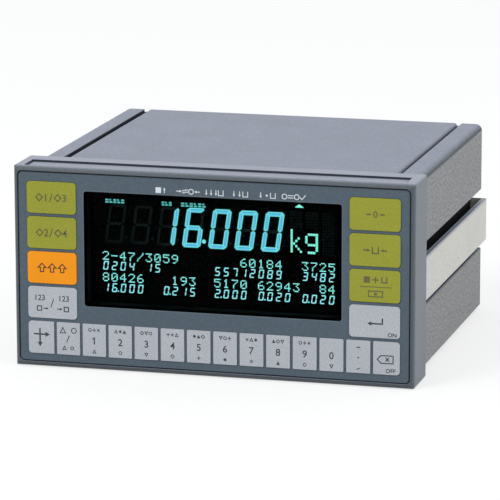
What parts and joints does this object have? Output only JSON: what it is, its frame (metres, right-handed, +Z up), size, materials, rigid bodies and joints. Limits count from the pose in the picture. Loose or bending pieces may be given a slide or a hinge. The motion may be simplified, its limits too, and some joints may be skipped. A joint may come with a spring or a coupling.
{
  "type": "weighing indicator",
  "caption": "Panel-mount weighing indicator: moulded bezel with a dark display window and membrane-style keys on an extruded body with slide rails at its sides.",
  "frame": {"origin": "middle of the footprint, on the surface that the indicator stands on", "axes": "+X to the right of the display, +Y from the front to the rear, +Z up"},
  "size_m": [0.192, 0.181, 0.096],
  "materials": {
    "bezel": "fine moulded grain",
    "body_paint": "fine texture paint",
    "sheet": "satin printed film",
    "window": "smoked, polished",
    "tube": "dark glass",
    "black_plastic": "matt",
    "key_olive": "satin printed film",
    "key_orange": "satin printed film",
    "key_grey": "satin printed film",
    "rail": "plated, fine grain",
    "steel": "plated",
    "rubber": "matt",
    "laminate": "board laminate",
    "capacitor": "printed sleeve",
    "core": "stacked sheets",
    "copper": "enamelled wire",
    "ribbon": "flat cable",
    "brass": "plain",
    "fuse_glass": "clear",
    "terminal": "moulded"
  },
  "bodies": {
    "case": {"front_bezel": "bezel", "key_sheet": "sheet", "display_window": "window", "display_shroud": "black_plastic", "display_tube": "tube", "key_board": "laminate", "key_switches": "black_plastic", "display_board": "laminate", "display_spacers": "steel", "bezel_screws": "steel", "left_side_wall": "body_paint", "right_side_wall": "body_paint", "top_cover": "body_paint", "bottom_cover": "body_paint", "rear_panel": "body_paint", "rear_screws": "steel", "rubber_feet": "rubber", "main_board": "laminate", "board_parts": "black_plastic", "capacitors": "capacitor", "board_standoffs": "steel", "board_screws": "steel", "transformer_core": "core", "transformer_winding": "copper", "ribbon_cable": "ribbon", "power_inlet": "black_plastic", "inlet_blades": "brass", "fuse_holder": "black_plastic", "load_cell_connector": "steel", "terminal_block": "terminal", "terminal_screws": "steel", "slot_covers": "steel"},
    "left_rail_body": {"left_rail": "rail", "left_rail_screw": "steel"},
    "right_rail_body": {"right_rail": "rail", "right_rail_screw": "steel"},
    "fuse_cap_body": {"fuse_cap": "black_plastic", "fuse": "fuse_glass"},
    "key_function_1_cap": {"key_function_1": "key_olive"},
    "key_function_2_cap": {"key_function_2": "key_olive"},
    "key_shift_cap": {"key_shift": "key_orange"},
    "key_code_cap": {"key_code": "key_grey"},
    "key_zero_cap": {"key_zero": "key_olive"},
    "key_tare_cap": {"key_tare": "key_olive"},
    "key_net_cap": {"key_net": "key_olive"},
    "key_on_cap": {"key_on": "key_grey"},
    "key_cursor_cap": {"key_cursor": "key_grey"},
    "key_letters_cap": {"key_letters": "key_grey"},
    "key_1_cap": {"key_1": "key_grey"},
    "key_2_cap": {"key_2": "key_grey"},
    "key_3_cap": {"key_3": "key_grey"},
    "key_4_cap": {"key_4": "key_grey"},
    "key_5_cap": {"key_5": "key_grey"},
    "key_6_cap": {"key_6": "key_grey"},
    "key_7_cap": {"key_7": "key_grey"},
    "key_8_cap": {"key_8": "key_grey"},
    "key_9_cap": {"key_9": "key_grey"},
    "key_0_cap": {"key_0": "key_grey"},
    "key_sign_cap": {"key_sign": "key_grey"},
    "key_off_cap": {"key_off": "key_grey"}
  },
  "joints": [
    {"name": "key_function_1_press", "type": "slide", "parent": "case", "child": "key_function_1_cap", "axis": [0, 1, 0], "range_m": [0, 0.0004], "stiffness_N_per_m": 3000},
    {"name": "key_function_2_press", "type": "slide", "parent": "case", "child": "key_function_2_cap", "axis": [0, 1, 0], "range_m": [0, 0.0004], "stiffness_N_per_m": 3000},
    {"name": "key_shift_press", "type": "slide", "parent": "case", "child": "key_shift_cap", "axis": [0, 1, 0], "range_m": [0, 0.0004], "stiffness_N_per_m": 3000},
    {"name": "key_code_press", "type": "slide", "parent": "case", "child": "key_code_cap", "axis": [0, 1, 0], "range_m": [0, 0.0004], "stiffness_N_per_m": 3000},
    {"name": "key_zero_press", "type": "slide", "parent": "case", "child": "key_zero_cap", "axis": [0, 1, 0], "range_m": [0, 0.0004], "stiffness_N_per_m": 3000},
    {"name": "key_tare_press", "type": "slide", "parent": "case", "child": "key_tare_cap", "axis": [0, 1, 0], "range_m": [0, 0.0004], "stiffness_N_per_m": 3000},
    {"name": "key_net_press", "type": "slide", "parent": "case", "child": "key_net_cap", "axis": [0, 1, 0], "range_m": [0, 0.0004], "stiffness_N_per_m": 3000},
    {"name": "key_on_press", "type": "slide", "parent": "case", "child": "key_on_cap", "axis": [0, 1, 0], "range_m": [0, 0.0004], "stiffness_N_per_m": 3000},
    {"name": "key_cursor_press", "type": "slide", "parent": "case", "child": "key_cursor_cap", "axis": [0, 1, 0], "range_m": [0, 0.0004], "stiffness_N_per_m": 3000},
    {"name": "key_letters_press", "type": "slide", "parent": "case", "child": "key_letters_cap", "axis": [0, 1, 0], "range_m": [0, 0.0004], "stiffness_N_per_m": 3000},
    {"name": "key_1_press", "type": "slide", "parent": "case", "child": "key_1_cap", "axis": [0, 1, 0], "range_m": [0, 0.0004], "stiffness_N_per_m": 3000},
    {"name": "key_2_press", "type": "slide", "parent": "case", "child": "key_2_cap", "axis": [0, 1, 0], "range_m": [0, 0.0004], "stiffness_N_per_m": 3000},
    {"name": "key_3_press", "type": "slide", "parent": "case", "child": "key_3_cap", "axis": [0, 1, 0], "range_m": [0, 0.0004], "stiffness_N_per_m": 3000},
    {"name": "key_4_press", "type": "slide", "parent": "case", "child": "key_4_cap", "axis": [0, 1, 0], "range_m": [0, 0.0004], "stiffness_N_per_m": 3000},
    {"name": "key_5_press", "type": "slide", "parent": "case", "child": "key_5_cap", "axis": [0, 1, 0], "range_m": [0, 0.0004], "stiffness_N_per_m": 3000},
    {"name": "key_6_press", "type": "slide", "parent": "case", "child": "key_6_cap", "axis": [0, 1, 0], "range_m": [0, 0.0004], "stiffness_N_per_m": 3000},
    {"name": "key_7_press", "type": "slide", "parent": "case", "child": "key_7_cap", "axis": [0, 1, 0], "range_m": [0, 0.0004], "stiffness_N_per_m": 3000},
    {"name": "key_8_press", "type": "slide", "parent": "case", "child": "key_8_cap", "axis": [0, 1, 0], "range_m": [0, 0.0004], "stiffness_N_per_m": 3000},
    {"name": "key_9_press", "type": "slide", "parent": "case", "child": "key_9_cap", "axis": [0, 1, 0], "range_m": [0, 0.0004], "stiffness_N_per_m": 3000},
    {"name": "key_0_press", "type": "slide", "parent": "case", "child": "key_0_cap", "axis": [0, 1, 0], "range_m": [0, 0.0004], "stiffness_N_per_m": 3000},
    {"name": "key_sign_press", "type": "slide", "parent": "case", "child": "key_sign_cap", "axis": [0, 1, 0], "range_m": [0, 0.0004], "stiffness_N_per_m": 3000},
    {"name": "key_off_press", "type": "slide", "parent": "case", "child": "key_off_cap", "axis": [0, 1, 0], "range_m": [0, 0.0004], "stiffness_N_per_m": 3000},
    {"name": "left_rail_slide", "type": "slide", "parent": "case", "child": "left_rail_body", "axis": [0, 1, 0], "range_m": [0, 0.12]},
    {"name": "right_rail_slide", "type": "slide", "parent": "case", "child": "right_rail_body", "axis": [0, 1, 0], "range_m": [0, 0.12]},
    {"name": "fuse_cap_turn", "type": "hinge", "parent": "case", "child": "fuse_cap_body", "pos_m": [-0.0199, 0.0825, 0.025], "axis": [0, 1, 0], "range_deg": [0, 45]}
  ]
}
